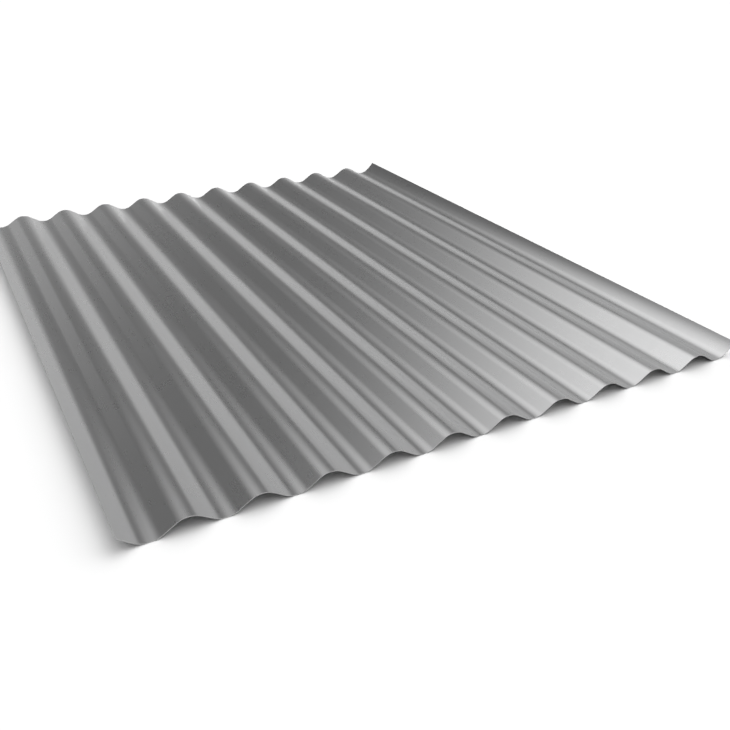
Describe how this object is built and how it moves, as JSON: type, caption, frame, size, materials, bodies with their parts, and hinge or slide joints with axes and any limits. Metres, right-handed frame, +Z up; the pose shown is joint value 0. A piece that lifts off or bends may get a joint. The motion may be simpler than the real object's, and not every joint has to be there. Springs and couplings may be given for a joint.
{
  "type": "corrugated metal sheet",
  "caption": "Flat-lying corrugated steel roofing sheet: round crests and valleys joined by straight flanks, square-cut ends and a lap at each side.",
  "frame": {"origin": "middle of the base, on the plane that the valleys rest on", "axes": "+X across the waves, +Y along the waves, +Z up"},
  "size_m": [0.821, 1, 0.0197],
  "materials": {
    "zinc_coated_steel": "smooth satin zinc coat"
  },
  "bodies": {
    "root": {"corrugated_sheet": "zinc_coated_steel"}
  },
  "joints": []
}
